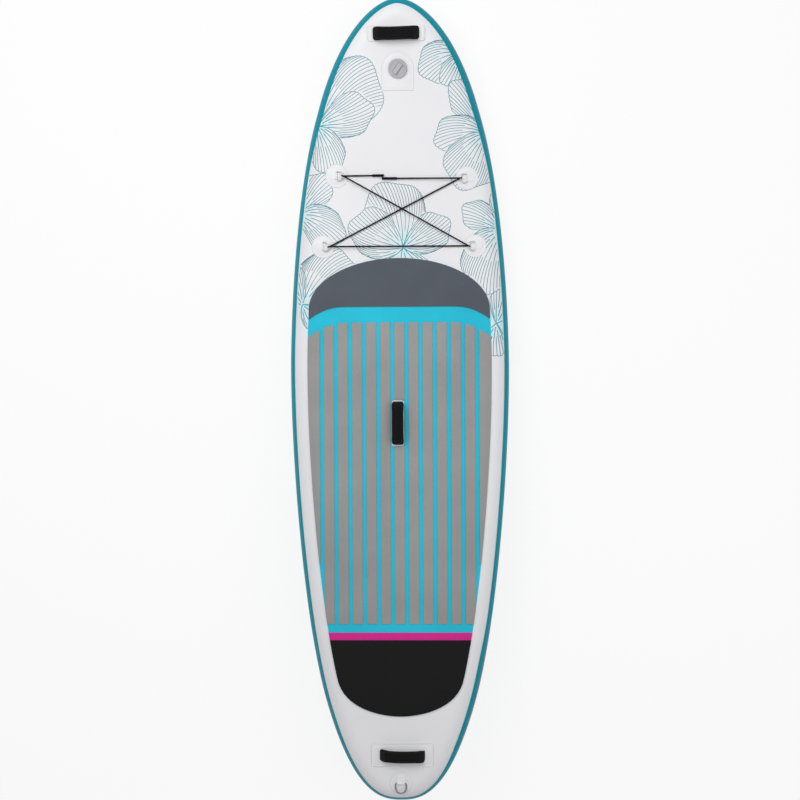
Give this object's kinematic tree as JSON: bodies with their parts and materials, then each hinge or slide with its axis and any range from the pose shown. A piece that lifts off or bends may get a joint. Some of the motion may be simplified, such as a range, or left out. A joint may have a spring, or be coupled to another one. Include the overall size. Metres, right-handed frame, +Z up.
{
  "type": "stand-up paddle board",
  "caption": "Inflatable stand-up paddle board with a striped foam deck pad, carry handles, inflation valve, crossed bungee lashing, leash ring and a box-mounted centre fin.",
  "frame": {"origin": "under the middle of the board's box, on the floor that it rests on with its fin tip and its forward belly", "axes": "+Y towards the nose, +X to the right side seen from the tail, +Z up"},
  "size_m": [0.803, 2.895, 0.4096],
  "materials": {
    "white_pvc": "satin coated fabric",
    "teal_pvc": "satin coated fabric",
    "drop_stitch": "woven",
    "cyan_foam": "matte textured foam",
    "grey_foam": "matte textured foam",
    "charcoal_foam": "matte textured foam",
    "magenta_foam": "matte textured foam",
    "black_foam": "matte textured foam",
    "neoprene": "knitted neoprene",
    "webbing": "woven webbing",
    "grey_plastic": "satin moulded",
    "steel": "polished stainless wire",
    "black_rubber": "matte",
    "black_cord": "braided elastic cord",
    "fin_plastic": "satin moulded",
    "brass": "machined"
  },
  "bodies": {
    "board": {"drop_stitch_core": "drop_stitch", "deck_skin": "white_pvc", "bottom_skin": "teal_pvc", "sidewall_inner": "teal_pvc", "rail_tape": "teal_pvc", "pad_base": "cyan_foam", "pad_front": "charcoal_foam", "pad_plank_01": "grey_foam", "pad_plank_02": "grey_foam", "pad_plank_03": "grey_foam", "pad_plank_04": "grey_foam", "pad_plank_05": "grey_foam", "pad_plank_06": "grey_foam", "pad_plank_07_front": "grey_foam", "pad_plank_07_rear": "grey_foam", "pad_plank_08": "grey_foam", "pad_plank_09": "grey_foam", "pad_plank_10": "grey_foam", "pad_plank_11": "grey_foam", "pad_plank_12": "grey_foam", "pad_plank_13": "grey_foam", "pad_stripe": "magenta_foam", "pad_tail": "black_foam", "centre_handle_patch": "white_pvc", "centre_handle_strap": "webbing", "nose_handle_patch": "white_pvc", "nose_handle_strap": "webbing", "tail_handle_patch": "white_pvc", "tail_handle_strap": "webbing", "valve_patch": "white_pvc", "valve_body": "grey_plastic", "valve_nut": "grey_plastic", "valve_spring": "steel", "ring_front_left_anchor": "white_pvc", "ring_front_right_anchor": "white_pvc", "ring_rear_left_anchor": "white_pvc", "ring_rear_right_anchor": "white_pvc", "bungee_cord": "black_cord", "bungee_knot_left": "black_cord", "bungee_knot_right": "black_cord", "leash_ring_anchor": "white_pvc", "fin_box": "fin_plastic"},
    "centre_grip": {"centre_handle_grip": "neoprene"},
    "nose_grip": {"nose_handle_grip": "neoprene"},
    "tail_grip": {"tail_handle_grip": "neoprene"},
    "front_left_ring": {"ring_front_left": "steel"},
    "front_right_ring": {"ring_front_right": "steel"},
    "rear_left_ring": {"ring_rear_left": "steel"},
    "rear_right_ring": {"ring_rear_right": "steel"},
    "tail_ring": {"leash_ring": "steel"},
    "cap_seal": {"cap_gasket": "black_rubber"},
    "cap": {"valve_cap": "grey_plastic"},
    "stem": {"valve_stem": "grey_plastic", "valve_seal": "black_rubber"},
    "centre_fin": {"fin": "fin_plastic", "fin_pin": "steel", "fin_plate": "brass"},
    "screw": {"fin_screw": "steel"}
  },
  "joints": [
    {"name": "centre_handle_flop", "type": "hinge", "parent": "board", "child": "centre_grip", "pos_m": [-0.006, -0.0603, 0.22678], "axis": [0, 0.9925, -0.1224], "range_deg": [-25, 25], "stiffness_Nm_per_rad": 0.2, "deforming": ["centre_handle_strap"]},
    {"name": "nose_handle_flop", "type": "hinge", "parent": "board", "child": "nose_grip", "pos_m": [-0.0044, 1.32096, 0.18902], "axis": [1, 0, 0], "range_deg": [-18, 18], "stiffness_Nm_per_rad": 0.2, "deforming": ["nose_handle_strap"]},
    {"name": "tail_handle_flop", "type": "hinge", "parent": "board", "child": "tail_grip", "pos_m": [0.0055, -1.25623, 0.37433], "axis": [1, 0, 0], "range_deg": [-18, 18], "stiffness_Nm_per_rad": 0.2, "deforming": ["tail_handle_strap"]},
    {"name": "front_left_ring_turn", "type": "hinge", "parent": "board", "child": "front_left_ring", "pos_m": [-0.2225, 0.82767, 0.15259], "axis": [0, -1, 0.0024], "range_deg": [0, 45], "deforming": ["bungee_cord"]},
    {"name": "front_right_ring_turn", "type": "hinge", "parent": "board", "child": "front_right_ring", "pos_m": [0.2455, 0.81699, 0.15262], "axis": [0, 1, -0.0024], "range_deg": [0, 45], "deforming": ["bungee_cord"]},
    {"name": "rear_left_ring_turn", "type": "hinge", "parent": "board", "child": "rear_left_ring", "pos_m": [-0.275, 0.5754, 0.15887], "axis": [0, -0.9989, 0.0476], "range_deg": [0, 45], "deforming": ["bungee_cord"]},
    {"name": "rear_right_ring_turn", "type": "hinge", "parent": "board", "child": "rear_right_ring", "pos_m": [0.275, 0.5754, 0.15887], "axis": [0, 0.9989, -0.0476], "range_deg": [0, 45], "deforming": ["bungee_cord"]},
    {"name": "leash_ring_turn", "type": "hinge", "parent": "board", "child": "tail_ring", "pos_m": [0, -1.35896, 0.38695], "axis": [-1, 0, 0], "range_deg": [0, 170]},
    {"name": "cap_lift", "type": "slide", "parent": "board", "child": "cap_seal", "axis": [0, -0.1071, 0.9943], "range_m": [0, 0.03]},
    {"name": "cap_turn", "type": "hinge", "parent": "cap_seal", "child": "cap", "pos_m": [0, 1.20112, 0.1752], "axis": [0, -0.1071, 0.9943], "range_deg": [0, 90]},
    {"name": "valve_push", "type": "slide", "parent": "board", "child": "stem", "axis": [0, 0.1071, -0.9943], "range_m": [0, 0.006], "stiffness_N_per_m": 300, "springref_m": -0.004, "deforming": ["valve_spring"]},
    {"name": "fin_slide", "type": "slide", "parent": "board", "child": "centre_fin", "axis": [0, 0.9925, -0.1224], "range_m": [-0.012, 0.035]},
    {"name": "fin_screw_turn", "type": "hinge", "parent": "centre_fin", "child": "screw", "pos_m": [0, -1.10582, 0.17652], "axis": [0, -0.1224, -0.9925], "continuous": true}
  ]
}
